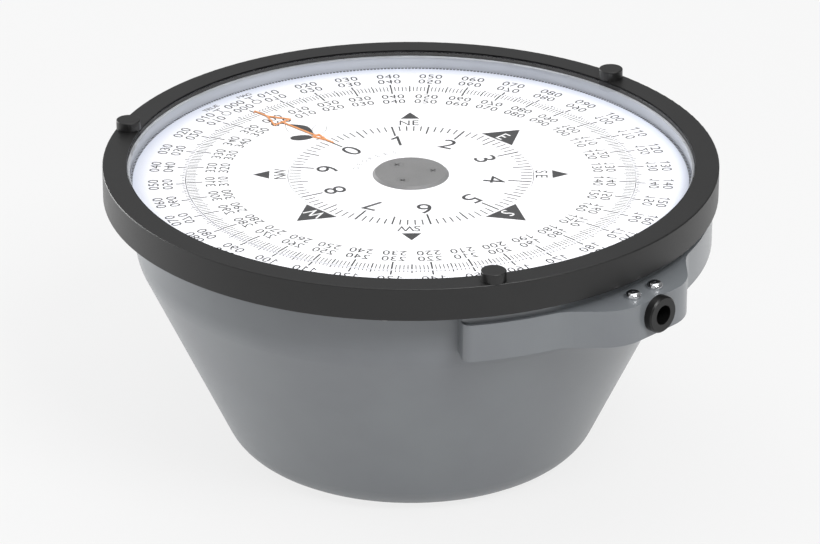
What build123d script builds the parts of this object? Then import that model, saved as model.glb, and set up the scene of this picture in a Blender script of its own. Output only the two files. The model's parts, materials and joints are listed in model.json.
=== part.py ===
"""Gyro bearing repeater bowl: a ship's compass repeater with a fixed relative bearing ring, a 360 degree
compass card and a ten degree fine card, geared 36 to 1, in a cast bowl with two gimbal lugs.

Frame: +Z up, origin at the centre of the flat base, +Y forward (towards the lubber line). Millimetres.
"""
import os
from math import atan, cos, degrees, pi, radians, sin, sqrt, tan

from build123d import *

# ---------------------------------------------------------------------------------------------
# Driving dimensions
# ---------------------------------------------------------------------------------------------
# Overall
bezel_r = 125.0  # outer radius of the bezel, the widest round
bezel_top_z = 123.5  # top face of the bezel above the base
bezel_h = 13.5  # height of the bezel's skirt
bezel_edge = 0.5  # softened outer edge
seal_bore_r = 115.25  # bore of the bezel that holds the window

# Clearances
fit_gap = 0.1  # radial gap of pieces that locate in each other
seat_gap = 0.02  # radial gap of pieces fixed on a shaft or in a bore
screw_gap = 0.05  # radial gap round a screw's thread
pass_gap = 0.3  # radial gap round a screw that passes through
run_gap = 0.05  # radial gap of a shaft that turns in a bush
card_gap = 0.3  # gap between the edges of turning and fixed cards
side_gap = 0.3  # gap between faces that move past each other

# Bowl
bowl_r = 112.5  # straight upper wall
bowl_shoulder_z = 86.5  # corner between the straight wall and the cone
bowl_base_r = 72.1  # corner between the cone and the base
shoulder_fillet = 20.0
base_fillet = 17.0
wall_t = 3.0
base_t = 4.0
flange_t = 4.3  # flange under the bezel
flange_r = 122.5
flange_bore_r = 104.0

# Lugs for the gimbal, fore and aft
pad_r = 122.8
lip_r = 120.7  # neck between the pad and the bezel
pad_short_angle = 35.9  # from the boss to the pad's end on one side
pad_long_angle = 46.0  # and on the other side
pad_h = 15.5
pad_recess = 4.0  # height of the neck between the pad's top and the bezel
pad_corner = 3.6
boss_reach = 134.8  # from the bowl's axis to the flat crest of the boss
boss_half_crest = 18.4  # half of the crest, to its corners before they are rounded
boss_flank_angle = 45.0  # of the flanks to the crest
boss_convex = 20.0
boss_concave = 20.0

# Gimbal bushes
bush_drop = 24.1  # below the bezel's top
bush_bore_r = 4.0
bush_body_r = 5.5
bush_flange_r = 7.5
bush_flange_t = 3.4
bush_len = 16.6
bush_edge = 0.6
bush_hole_extra = 1.5  # depth of the bush's hole past the bush
bush_groove_r = 4.7
bush_groove_w = 3.4
bush_screw_reach = 127.8
bush_screw_spread = 6.3
bush_screw_len = 11.0
bush_screw_head_r = 3.3
bush_screw_head_h = 2.3

# Window and its surround
window_recess = 0.5  # window's top below the bezel's top
window_t = 2.0
window_edge = 0.2
window_gasket_t = 0.5
window_gasket_r = 113.9
surround_bore_r = 114.4
surround_r = 116.6
bezel_gasket_t = 0.5

# Studs for an azimuth circle
stud_count = 3
stud_pcd = 240.2
stud_r = 5.0
stud_h = 4.0
stud_edge = 0.4
stud_first_bearing = 90.0
stud_spigot_r = 3.0
stud_spigot_len = 6.0

# Dial
dial_drop = 7.7  # fixed ring's top below the bezel's top
card_rise = 0.4  # cards' tops above the fixed ring
ring_r = 114.1
ring_bore_r = 91.6
ring_t = 1.5
card_t = 1.0
fine_card_r = 49.8
fine_hub_hole_r = 12.0
led_pitch_r = 100.4
led_half_angle = 5.0
led_r = 1.5

# Lubber pointer
pointer_t = 0.3
pointer_w = 0.7
pointer_tip_r = 92.2
pointer_inner_r = 45.6
pointer_frame_apex_r = 85.2
pointer_frame_base_r = 75.0
pointer_frame_half = 5.0
pointer_head_r = 55.6
pointer_head_tip_r = 48.0
pointer_head_half = 2.1
pointer_foot_len = 0.6

# Hub of the fine card
hub_r = 15.5
hub_rise = 1.2
hub_edge = 0.9
hub_screw_count = 3
hub_screw_pitch_r = 9.1
hub_screw_bearing = 7.0

# Screws: thread radius, head radius, head height
m3_r, m3_head_r, m3_head_h = 1.5, 2.8, 1.65
m4_r, m4_head_r, m4_head_h = 2.0, 3.6, 2.6
cross_w, cross_span, cross_depth = 0.7, 2.8, 1.0
screw_land = 0.2  # straight edge round a countersunk head
dome_round = 0.8  # of a dome head's height that is rounded
tip_gap = 1.0  # between a screw's tip and the end of its hole

# Bezel screws, from beneath, clear of the lugs
bezel_screw_pitch_r = 119.3
bezel_screw_len = 9.5
bezel_screw_bearings = (50, 76, 104, 130, 230, 256, 284, 310)
bezel_screw_head_h = 2.0

# Gear train: two stages of 6 to 1 on one centre distance
gear_module = 0.8
wheel_teeth = 90
pinion_teeth = 15
gear_backlash = 0.16
gear_pressure_angle = 20.0
gear_addendum = 0.85  # of the module
gear_dedendum = 1.2  # of the module
gear_end_gap = 1.0  # between a gear and the plate beside it
wheel_t = 3.0
pinion_t = 4.4
idler_angle = 240.0  # where the idler stands round the main axis
motor_turn = 340.0  # where the motor stands round the idler

# Plates and shafts
chassis_z = 92.0
chassis_t = 3.0
chassis_r = 98.0
post_count = 4
post_first_angle = 45.0
post_pitch_r = 92.0
post_r = 5.0
post_bottom_z = 38.0
top_plate_t = 2.0
top_plate_r = 56.0
plate_gap = 11.5  # between the two plates
pillar_r = 4.0
pillar_spigot_r = 2.5
pillar_pitch_r = 50.0
pillar_angles = (60, 175, 310)
plate_screw_depth = 7.0
chassis_screw_depth = 9.0
sleeve_r = 8.0
sleeve_bore_r = 5.4
sleeve_flange_r = 14.0
sleeve_flange_t = 1.2
sleeve_tail = 0.5  # of the sleeve below its wheel
inner_bush_len = 3.5
fine_shaft_r = 4.0
fine_flange_r = 13.5
fine_tail = 3.0  # of the fine shaft below the chassis plate
clip_t = 0.8
clip_r = 6.5
clip_depth = 0.6
idler_shaft_r = 2.5
idler_hub_r = 5.0
idler_collar_r = 4.5
idler_tail = 0.5
bush_wall = 2.0
bush_rim = 0.8
bush_rim_w = 1.95

# Card carrier
carrier_t = 1.2
carrier_rim_r = 60.0
carrier_rim_w = 2.0
carrier_seat_r = 88.0
carrier_holes = 6
carrier_hole_r = 9.0
carrier_hole_pitch_r = 38.0

# Motor
motor_r = 17.5
motor_len = 26.0
motor_ear_pitch = 21.0
motor_ear_r = 3.5
motor_ear_t = 1.5
motor_pilot_r = 5.0
motor_pilot_h = 1.5
motor_shaft_r = 2.0
motor_shaft_socket = 14.0  # of the shaft inside the motor's case
motor_shaft_reach = 9.5  # above the motor's face
motor_screw_len = 5.5

# Electronics
board_r = 62.0
board_z = 34.0
board_t = 1.6
board_pillar_r = 3.0
board_pillar_pitch_r = 52.0
board_pillar_count = 4
board_screw_len = 8.0
can_r, can_h = 4.0, 9.0
lamp_board_r = 103.5
lamp_board_bore_r = 94.0
lamp_board_t = 1.4
lamp_board_drop = 2.9  # below the fixed ring
lamp_spacer_r = 2.0
lamp_spacer_pitch_r = 100.8
lamp_spacer_count = 4
lamp_pitch_r = 97.5
lamp_count = 12
lamp_size = 3.0
lamp_h = 1.5

# Connector in the base
well_r = 20.0
well_depth = 14.0
well_wall = 3.0
conn_r = 9.0
conn_bore_r = 7.2
conn_face_z = 6.5
conn_top_z = 26.0
conn_flange_r = 12.5
conn_flange_t = 1.5
conn_seal_t = 0.8
conn_seal_r = 12.0
conn_nut_af = 24.0
conn_nut_t = 3.0
conn_pin_r = 0.75
conn_pin_count = 6
conn_pin_pitch_r = 4.2
conn_pin_len = 6.0

# ---------------------------------------------------------------------------------------------
# Heights that follow
# ---------------------------------------------------------------------------------------------
bezel_bottom_z = bezel_top_z - bezel_h
flange_top_z = bezel_bottom_z + flange_t
bezel_shoulder_z = flange_top_z + bezel_gasket_t
window_top_z = bezel_top_z - window_recess
window_bottom_z = window_top_z - window_t
surround_top_z = window_bottom_z - window_gasket_t
ring_top_z = bezel_top_z - dial_drop
ring_bottom_z = ring_top_z - ring_t
card_top_z = ring_top_z + card_rise
card_bottom_z = card_top_z - card_t
card_r = ring_bore_r - card_gap
card_bore_r = fine_card_r + card_gap
pad_top_z = bezel_bottom_z - pad_recess
pad_bottom_z = pad_top_z - pad_h
bush_z = bezel_top_z - bush_drop
bush_face = boss_reach + bush_flange_t
cone_angle = degrees(atan((bowl_r - bowl_base_r) / bowl_shoulder_z))
chassis_top_z = chassis_z + chassis_t
top_plate_z = chassis_top_z + plate_gap
top_plate_top_z = top_plate_z + top_plate_t
sleeve_flange_z = top_plate_top_z + bush_rim + side_gap
carrier_z = sleeve_flange_z + sleeve_flange_t
carrier_top_z = carrier_z + carrier_t
fine_flange_z = carrier_top_z + side_gap
centre_distance = gear_module * (wheel_teeth + pinion_teeth) / 2
fine_pinion_z = chassis_top_z + gear_end_gap
idler_wheel_z = fine_pinion_z + (pinion_t - wheel_t) / 2
coarse_wheel_z = top_plate_z - gear_end_gap - wheel_t
idler_pinion_z = coarse_wheel_z - (pinion_t - wheel_t) / 2
idler_x = centre_distance * cos(radians(idler_angle))
idler_y = centre_distance * sin(radians(idler_angle))
motor_x = idler_x + centre_distance * cos(radians(motor_turn))
motor_y = idler_y + centre_distance * sin(radians(motor_turn))
well_top_z = well_depth + well_wall


# ---------------------------------------------------------------------------------------------
# Shared shapes
# ---------------------------------------------------------------------------------------------
def write(piece, name):
    """Label a finished piece and write it as its own STEP file."""
    piece.label = name
    export_step(piece, f"parts/{name}.step")


def ring(outer_r, inner_r, bottom, height):
    """A plain flat ring."""
    with BuildPart() as body:
        with BuildSketch(Plane.XY.offset(bottom)):
            Circle(outer_r)
            Circle(inner_r, mode=Mode.SUBTRACT)
        extrude(amount=height)
    return body.part


def place(angle, radius):
    """A point at an angle from +X, in degrees, and a radius."""
    return (radius * cos(radians(angle)), radius * sin(radians(angle)))


def at_bearing(bearing, radius):
    """A point at a bearing clockwise from forward, and a radius."""
    return place(90 - bearing, radius)


def cross_recess(top):
    """The cutter for a screw's cross recess, sunk below the given height."""
    with BuildPart() as cutter:
        with BuildSketch(Plane.XY.offset(top)):
            Rectangle(cross_span, cross_w)
            Rectangle(cross_w, cross_span)
        extrude(amount=-cross_depth)
    return cutter.part


def screw_blank(thread_r, head_r, head_h, length, top):
    """The outer shape of a countersunk screw pointing down, or the cutter of its hole."""
    with BuildPart() as blank:
        with BuildSketch(Plane.XZ):
            with BuildLine():
                Polyline((0, top), (head_r, top), (head_r, top - screw_land), (thread_r, top - head_h),
                         (thread_r, top - length), (0, top - length), close=True)
            make_face()
        revolve(axis=Axis.Z)
    return blank.part


def flat_screw(thread_r, head_r, head_h, length, top):
    """A countersunk screw with its head flush with the given height."""
    with BuildPart() as screw:
        add(screw_blank(thread_r, head_r, head_h, length, top))
        add(cross_recess(top), mode=Mode.SUBTRACT)
    return screw.part


def dome_screw(thread_r, head_r, head_h, length, seat):
    """A dome headed screw pointing down, its head resting on the given height."""
    top = seat + head_h
    with BuildPart() as screw:
        with BuildSketch(Plane.XZ) as profile:
            with BuildLine():
                Polyline((0, seat - length), (thread_r, seat - length), (thread_r, seat), (head_r, seat),
                         (head_r, top), (0, top), close=True)
            make_face()
            fillet(profile.vertices().sort_by_distance((head_r, top, 0))[0], dome_round * head_h)
        revolve(axis=Axis.Z)
        add(cross_recess(top), mode=Mode.SUBTRACT)
    return screw.part


def tooth_points(teeth, first_angle):
    """The outline of an involute gear, a tooth centred on the first angle."""
    pitch_r = gear_module * teeth / 2
    pressure = radians(gear_pressure_angle)
    base_r = pitch_r * cos(pressure)
    tip_r = pitch_r + gear_addendum * gear_module
    root_r = pitch_r - gear_dedendum * gear_module
    half_pitch = pi / (2 * teeth) - gear_backlash / (4 * pitch_r)

    def half_width(r):
        roll = sqrt(max((r / base_r) ** 2 - 1, 0))
        at_pitch = tan(pressure) - pressure
        return half_pitch + at_pitch - (roll - atan(roll))

    radii = [max(base_r, root_r) + (tip_r - max(base_r, root_r)) * k / 3 for k in range(4)]
    points = []
    for tooth in range(teeth):
        middle = radians(first_angle) + 2 * pi * tooth / teeth
        flank = [(r, half_width(r)) for r in radii]
        if root_r < base_r:
            flank.insert(0, (root_r, half_width(base_r)))
        for r, a in flank:
            points.append((r * cos(middle - a), r * sin(middle - a)))
        for r, a in reversed(flank):
            points.append((r * cos(middle + a), r * sin(middle + a)))
    return points


def gear(teeth, first_angle, bottom, height, bore_r, centre=(0, 0), collar=None):
    """A spur gear with its own centre. A collar is (radius, from height, to height)."""
    x, y = centre
    with BuildPart() as body:
        with BuildSketch(Plane(origin=(x, y, bottom))):
            with BuildLine():
                Polyline(*tooth_points(teeth, first_angle), close=True)
            make_face()
        extrude(amount=height)
        if collar:
            collar_r, low, high = collar
            with BuildSketch(Plane(origin=(x, y, low))):
                Circle(collar_r)
            extrude(amount=high - low)
        with BuildSketch(Plane(origin=(x, y, 0))):
            Circle(bore_r)
        extrude(amount=bezel_top_z, mode=Mode.SUBTRACT)
    return body.part


def shaft(radius, bottom, top, centre=(0, 0)):
    """A plain round shaft."""
    with BuildPart() as body:
        with BuildSketch(Plane(origin=(*centre, bottom))):
            Circle(radius)
        extrude(amount=top - bottom)
    return body.part


def bush(shaft_r, bottom, top, rim_bottom, rim_top, centre=(0, 0)):
    """A plain bearing bush with a rim at one end."""
    with BuildPart() as body:
        with BuildSketch(Plane(origin=(*centre, bottom))):
            Circle(shaft_r + run_gap + bush_wall - seat_gap)
        extrude(amount=top - bottom)
        with BuildSketch(Plane(origin=(*centre, rim_bottom))):
            Circle(shaft_r + run_gap + bush_wall + bush_rim_w)
        extrude(amount=rim_top - rim_bottom)
        with BuildSketch(Plane(origin=(*centre, 0))):
            Circle(shaft_r + run_gap)
        extrude(amount=bezel_top_z, mode=Mode.SUBTRACT)
    return body.part


def copies(piece, points):
    """One node made of the same piece at several points, as separate solids."""
    with BuildPart() as group:
        with Locations(*points):
            add(piece)
    return group.part


# ---------------------------------------------------------------------------------------------
# Bowl with its two gimbal lugs
# ---------------------------------------------------------------------------------------------
def bowl_profile(points, corners):
    """Revolve an outline of (radius, height) points. Corners are (radius, height, fillet)."""
    with BuildPart() as body:
        with BuildSketch(Plane.XZ) as profile:
            with BuildLine():
                Polyline(*points, close=True)
            make_face()
            for r, z, size in corners:
                fillet(profile.vertices().sort_by_distance((r, z, 0))[0], size)
        revolve(axis=Axis.Z)
    return body.part


def bowl_cavity():
    """The space inside the bowl, less the chassis posts and the connector's well."""
    slope = tan(radians(cone_angle))
    inset = wall_t / cos(radians(cone_angle))
    inner_r = bowl_r - wall_t
    low_r = bowl_base_r - inset + base_t * slope
    corner_z = (inner_r + inset - bowl_base_r) / slope
    outline = [(0, base_t), (low_r, base_t), (inner_r, corner_z), (inner_r, bezel_bottom_z),
               (flange_bore_r, bezel_bottom_z), (flange_bore_r, flange_top_z + 1), (0, flange_top_z + 1)]
    corners = [(low_r, base_t, base_fillet - base_t), (inner_r, corner_z, shoulder_fillet + wall_t)]
    with BuildPart() as space:
        add(bowl_profile(outline, corners))
        with BuildSketch(Plane.XY.offset(post_bottom_z)):
            with PolarLocations(post_pitch_r, post_count, start_angle=post_first_angle):
                Circle(post_r)
        extrude(amount=chassis_z - post_bottom_z, mode=Mode.SUBTRACT)
        with BuildSketch():
            Circle(well_r + well_wall)
        extrude(amount=well_top_z, mode=Mode.SUBTRACT)
    return space.part


def sector(radius, inner_r):
    """A flat arc band that follows the lug's pad, its long side towards -X."""
    reach = 2 * radius
    with BuildSketch() as band:
        Circle(radius)
        with BuildLine():
            Polyline((0, 0), at_bearing(pad_long_angle, reach), at_bearing(-pad_short_angle, reach),
                     close=True)
        make_face(mode=Mode.INTERSECT)
        Circle(inner_r, mode=Mode.SUBTRACT)
        fillet(band.vertices().filter_by(lambda v: v.Y ** 2 + v.X ** 2 > (radius - 1) ** 2), pad_corner)
    return band.sketch


def boss_outline():
    """The plan of the boss: a flat crest with rounded corners between two sloping flanks."""
    low_y = bowl_r - wall_t / 2
    low_half = boss_half_crest + (boss_reach - low_y) / tan(radians(boss_flank_angle))
    with BuildSketch() as boss:
        with BuildLine():
            Polyline((-low_half, low_y), (low_half, low_y), (boss_half_crest, boss_reach),
                     (-boss_half_crest, boss_reach), close=True)
        make_face()
        fillet(boss.vertices().group_by(Axis.Y)[-1], boss_convex)
    return boss.sketch


def lug():
    """The forward gimbal lug, with the holes for its bush and the bush's screws."""
    inner_r = bowl_r - wall_t / 2
    corner_x = pad_r * sin(radians(pad_short_angle)) - 2 * pad_corner
    with BuildPart() as body:
        with BuildSketch(Plane.XY.offset(pad_bottom_z)) as outline:
            add(sector(pad_r, inner_r))
            add(boss_outline())
            meeting = outline.vertices().filter_by(
                lambda v: abs(sqrt(v.X ** 2 + v.Y ** 2) - pad_r) < 0.01 and abs(v.X) < corner_x)
            fillet(meeting, boss_concave)
        extrude(amount=pad_h)
        with BuildSketch(Plane.XY.offset(pad_top_z)):
            add(sector(lip_r, inner_r))
        extrude(amount=pad_recess)
        with BuildSketch(Plane(origin=(0, boss_reach, bush_z), z_dir=(0, -1, 0))):
            Circle(bush_body_r + fit_gap / 2)
        extrude(amount=bush_len + bush_hole_extra, mode=Mode.SUBTRACT)
        with BuildSketch(Plane.XY.offset(pad_top_z)):
            with Locations((bush_screw_spread, bush_screw_reach), (-bush_screw_spread, bush_screw_reach)):
                Circle(m3_r + screw_gap)
        extrude(amount=-(bush_screw_len + tip_gap), mode=Mode.SUBTRACT)
    return body.part


def make_bowl():
    """The cast bowl: wall, flange, lugs, posts and the connector's well."""
    outline = [(0, 0), (bowl_base_r, 0), (bowl_r, bowl_shoulder_z), (bowl_r, bezel_bottom_z),
               (flange_r, bezel_bottom_z), (flange_r, flange_top_z), (0, flange_top_z)]
    corners = [(bowl_base_r, 0, base_fillet), (bowl_r, bowl_shoulder_z, shoulder_fillet)]
    forward = lug()
    with BuildPart() as body:
        add(bowl_profile(outline, corners))
        add(forward)
        add(forward.mirror(Plane.XZ))
        add(bowl_cavity(), mode=Mode.SUBTRACT)
        with BuildSketch():
            Circle(well_r)
        extrude(amount=well_depth, mode=Mode.SUBTRACT)
        with BuildSketch():
            Circle(conn_r + fit_gap)
        extrude(amount=well_top_z, mode=Mode.SUBTRACT)
        with BuildSketch(Plane.XY.offset(bezel_bottom_z)):
            with Locations(*[at_bearing(b, bezel_screw_pitch_r) for b in bezel_screw_bearings]):
                Circle(m3_r + pass_gap)
        extrude(amount=flange_t, mode=Mode.SUBTRACT)
        with BuildSketch(Plane.XY.offset(chassis_z)):
            with PolarLocations(post_pitch_r, post_count, start_angle=post_first_angle):
                Circle(m4_r + screw_gap)
        extrude(amount=-chassis_screw_depth, mode=Mode.SUBTRACT)
    return body.part


# ---------------------------------------------------------------------------------------------
# Bezel, studs, window and seals
# ---------------------------------------------------------------------------------------------
def make_bezel():
    """The black ring that clamps the window's surround to the bowl."""
    skirt_r = flange_r + pass_gap
    step_r = surround_r + fit_gap
    with BuildPart() as body:
        with BuildSketch(Plane.XZ) as profile:
            with BuildLine():
                Polyline((seal_bore_r, bezel_top_z), (seal_bore_r, surround_top_z), (step_r, surround_top_z),
                         (step_r, bezel_shoulder_z), (skirt_r, bezel_shoulder_z), (skirt_r, bezel_bottom_z),
                         (bezel_r, bezel_bottom_z), (bezel_r, bezel_top_z), close=True)
            make_face()
            fillet(profile.vertices().filter_by(lambda v: v.X > bezel_r - 0.01), bezel_edge)
        revolve(axis=Axis.Z)
        with BuildSketch(Plane.XY.offset(bezel_top_z)):
            with Locations(*stud_points()):
                Circle(stud_spigot_r + seat_gap)
        extrude(amount=-stud_spigot_len, mode=Mode.SUBTRACT)
        with BuildSketch(Plane.XY.offset(bezel_shoulder_z)):
            with Locations(*[at_bearing(b, bezel_screw_pitch_r) for b in bezel_screw_bearings]):
                Circle(m3_r + screw_gap)
        extrude(amount=bezel_screw_len - flange_t, mode=Mode.SUBTRACT)
    return body.part


def stud_points():
    """Where the studs stand round the bezel."""
    return [at_bearing(stud_first_bearing + 360 * k / stud_count, stud_pcd / 2) for k in range(stud_count)]


def make_studs():
    """The plain round studs that locate an azimuth circle."""
    with BuildPart() as one:
        with BuildSketch(Plane.XY.offset(bezel_top_z)):
            Circle(stud_r)
        extrude(amount=stud_h)
        fillet(one.faces().sort_by(Axis.Z)[-1].edges(), stud_edge)
        with BuildSketch(Plane.XY.offset(bezel_top_z)):
            Circle(stud_spigot_r)
        extrude(amount=-stud_spigot_len + side_gap)
    return copies(one.part, stud_points())


def make_window():
    """The flat glass, with its edges eased."""
    with BuildPart() as body:
        add(shaft(seal_bore_r - 2 * fit_gap, window_bottom_z, window_top_z))
        chamfer(body.edges().filter_by(GeomType.CIRCLE), window_edge)
    return body.part


def make_bezel_gasket():
    """The flat gasket between the bowl's flange and the bezel."""
    with BuildPart() as body:
        add(ring(flange_r - fit_gap, surround_r + pass_gap, flange_top_z, bezel_gasket_t))
        with BuildSketch(Plane.XY.offset(flange_top_z)):
            with Locations(*[at_bearing(b, bezel_screw_pitch_r) for b in bezel_screw_bearings]):
                Circle(m3_r + pass_gap)
        extrude(amount=bezel_gasket_t, mode=Mode.SUBTRACT)
    return body.part


def make_bezel_screws():
    """Screws that come up through the bowl's flange."""
    up = dome_screw(m3_r, m3_head_r, bezel_screw_head_h, bezel_screw_len - tip_gap, bezel_bottom_z)
    up = up.mirror(Plane.XY.offset(bezel_bottom_z))
    return copies(up, [at_bearing(b, bezel_screw_pitch_r) for b in bezel_screw_bearings])


# ---------------------------------------------------------------------------------------------
# Dial
# ---------------------------------------------------------------------------------------------
def make_bearing_ring():
    """The fixed ring, with a hole for each of the two mode lamps."""
    with BuildPart() as body:
        add(ring(ring_r, ring_bore_r, ring_bottom_z, ring_t))
        with BuildSketch(Plane.XY.offset(ring_bottom_z)):
            with Locations(at_bearing(-led_half_angle, led_pitch_r), at_bearing(led_half_angle, led_pitch_r)):
                Circle(led_r + fit_gap)
        extrude(amount=ring_t, mode=Mode.SUBTRACT)
    return body.part


def open_triangle(half, base_r, apex_r):
    """A triangular loop of the pointer's strip, its base across the pointer."""
    with BuildSketch() as loop:
        with BuildLine():
            Polyline((-half, base_r), (half, base_r), (0, apex_r), close=True)
        make_face()
        offset(amount=-pointer_w, kind=Kind.INTERSECTION, mode=Mode.SUBTRACT)
    return loop.sketch


def make_lubber_pointer():
    """The thin pointer that reads both cards: a foot on the ring, two stems and two open triangles."""
    pointer_z = card_top_z + side_gap
    neck_r = pointer_frame_apex_r - pointer_w
    with BuildPart() as body:
        with BuildSketch(Plane.XY.offset(pointer_z)):
            with Locations((0, (pointer_tip_r + neck_r) / 2)):
                Rectangle(pointer_w, pointer_tip_r - neck_r)
            with Locations((0, (pointer_frame_base_r + pointer_head_r) / 2)):
                Rectangle(pointer_w, pointer_frame_base_r - pointer_head_r + pointer_w)
            with Locations((0, (pointer_head_tip_r + pointer_inner_r) / 2)):
                Rectangle(pointer_w, pointer_head_tip_r - pointer_inner_r + 2 * pointer_w)
            add(open_triangle(pointer_frame_half, pointer_frame_base_r, pointer_frame_apex_r))
            add(open_triangle(pointer_head_half, pointer_head_r, pointer_head_tip_r))
        extrude(amount=pointer_t)
        with BuildSketch(Plane.XY.offset(ring_top_z)):
            with Locations((0, pointer_tip_r - pointer_foot_len / 2)):
                Rectangle(pointer_w, pointer_foot_len)
        extrude(amount=pointer_z - ring_top_z)
    return body.part


def make_carrier():
    """The dished plate under the compass card, with lightening holes."""
    seat_z = card_bottom_z - carrier_t
    wall_r = carrier_rim_r - carrier_rim_w
    with BuildPart() as body:
        with BuildSketch(Plane.XZ):
            with BuildLine():
                Polyline((sleeve_r + seat_gap, carrier_z), (carrier_rim_r, carrier_z),
                         (carrier_rim_r, seat_z), (carrier_seat_r, seat_z),
                         (carrier_seat_r, card_bottom_z), (wall_r, card_bottom_z),
                         (wall_r, carrier_top_z), (sleeve_r + seat_gap, carrier_top_z), close=True)
            make_face()
        revolve(axis=Axis.Z)
        with BuildSketch(Plane.XY.offset(carrier_z)):
            with PolarLocations(carrier_hole_pitch_r, carrier_holes):
                Circle(carrier_hole_r)
        extrude(amount=carrier_t, mode=Mode.SUBTRACT)
    return body.part


def hub_screw_points():
    """Where the hub screws stand."""
    return [at_bearing(hub_screw_bearing + 360 * k / hub_screw_count, hub_screw_pitch_r)
            for k in range(hub_screw_count)]


def make_hub_cap():
    """The disc that clamps the fine card to its shaft."""
    top_z = card_top_z + hub_rise
    sink = screw_blank(m3_r + screw_gap, m3_head_r + screw_gap, m3_head_h, hub_rise + card_t + 1, top_z)
    with BuildPart() as body:
        with BuildSketch(Plane.XY.offset(card_top_z)):
            Circle(hub_r)
        extrude(amount=hub_rise)
        chamfer(body.faces().sort_by(Axis.Z)[-1].edges(), hub_edge)
        with BuildSketch(Plane.XY.offset(card_bottom_z)):
            Circle(fine_hub_hole_r - fit_gap)
        extrude(amount=card_t)
        with Locations(*hub_screw_points()):
            add(sink, mode=Mode.SUBTRACT)
    return body.part


def make_fine_shaft():
    """The shaft of the fine card: a flange, a plain shank and a groove for its clip."""
    groove_z = chassis_z - bush_rim - side_gap - clip_t
    with BuildPart() as body:
        with BuildSketch(Plane.XY.offset(fine_flange_z)):
            Circle(fine_flange_r)
        extrude(amount=card_bottom_z - fine_flange_z)
        add(shaft(fine_shaft_r, chassis_z - fine_tail, fine_flange_z))
        add(ring(fine_shaft_r + 1, fine_shaft_r - clip_depth, groove_z, clip_t), mode=Mode.SUBTRACT)
        with BuildSketch(Plane.XY.offset(card_bottom_z)):
            with Locations(*hub_screw_points()):
                Circle(m3_r + screw_gap)
        extrude(amount=fine_flange_z - card_bottom_z, mode=Mode.SUBTRACT)
    return body.part


def make_clip():
    """The open retaining ring under the lower bush."""
    groove_z = chassis_z - bush_rim - side_gap - clip_t
    with BuildPart() as body:
        add(ring(clip_r, fine_shaft_r - clip_depth + seat_gap, groove_z + seat_gap, clip_t - 2 * seat_gap))
        with BuildSketch(Plane.XY.offset(groove_z)):
            with Locations((clip_r, 0)):
                Rectangle(2 * clip_r, fine_shaft_r)
        extrude(amount=clip_t, mode=Mode.SUBTRACT)
    return body.part


def make_sleeve():
    """The hollow shaft that turns the compass card."""
    bottom_z = coarse_wheel_z - sleeve_tail
    with BuildPart() as body:
        with BuildSketch(Plane.XY.offset(bottom_z)):
            Circle(sleeve_r)
        extrude(amount=carrier_top_z - bottom_z)
        with BuildSketch(Plane.XY.offset(sleeve_flange_z)):
            Circle(sleeve_flange_r)
        extrude(amount=sleeve_flange_t)
        with BuildSketch(Plane.XY.offset(bottom_z)):
            Circle(sleeve_bore_r)
        extrude(amount=carrier_top_z - bottom_z, mode=Mode.SUBTRACT)
    return body.part


# ---------------------------------------------------------------------------------------------
# Plates, pillars and motor
# ---------------------------------------------------------------------------------------------
def motor_screw_points():
    """The two ears of the motor."""
    return [(motor_x - motor_ear_pitch, motor_y), (motor_x + motor_ear_pitch, motor_y)]


def pillar_points():
    """The pillars between the two plates."""
    return [place(a, pillar_pitch_r) for a in pillar_angles]


def make_chassis_plate():
    """The lower plate, which carries the motor and the lower bushes."""
    sink = screw_blank(m3_r + screw_gap, m3_head_r + screw_gap, m3_head_h, chassis_t + 1, chassis_top_z)
    with BuildPart() as body:
        with BuildSketch(Plane.XY.offset(chassis_z)):
            Circle(chassis_r)
            Circle(fine_shaft_r + run_gap + bush_wall, mode=Mode.SUBTRACT)
            with Locations((idler_x, idler_y)):
                Circle(idler_shaft_r + run_gap + bush_wall, mode=Mode.SUBTRACT)
            with Locations((motor_x, motor_y)):
                Circle(motor_pilot_r + fit_gap, mode=Mode.SUBTRACT)
            with Locations(*pillar_points()):
                Circle(pillar_spigot_r + seat_gap, mode=Mode.SUBTRACT)
            with PolarLocations(post_pitch_r, post_count, start_angle=post_first_angle):
                Circle(m4_r + pass_gap, mode=Mode.SUBTRACT)
        extrude(amount=chassis_t)
        with Locations(*motor_screw_points()):
            add(sink, mode=Mode.SUBTRACT)
    return body.part


def make_top_plate():
    """The upper plate, which carries the card sleeve's bush."""
    sink = screw_blank(m3_r + screw_gap, m3_head_r + screw_gap, m3_head_h, top_plate_t + 1, top_plate_top_z)
    with BuildPart() as body:
        with BuildSketch(Plane.XY.offset(top_plate_z)):
            Circle(top_plate_r)
            Circle(sleeve_r + run_gap + bush_wall, mode=Mode.SUBTRACT)
            with Locations((idler_x, idler_y)):
                Circle(idler_shaft_r + run_gap + bush_wall, mode=Mode.SUBTRACT)
        extrude(amount=top_plate_t)
        with Locations(*pillar_points()):
            add(sink, mode=Mode.SUBTRACT)
    return body.part


def make_pillars():
    """Pillars with a spigot below and a tapped hole above."""
    with BuildPart() as one:
        add(shaft(pillar_r, chassis_top_z, top_plate_z))
        add(shaft(pillar_spigot_r, chassis_z, chassis_top_z))
        with BuildSketch(Plane.XY.offset(top_plate_z)):
            Circle(m3_r + screw_gap)
        extrude(amount=-plate_screw_depth, mode=Mode.SUBTRACT)
    return copies(one.part, pillar_points())


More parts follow.
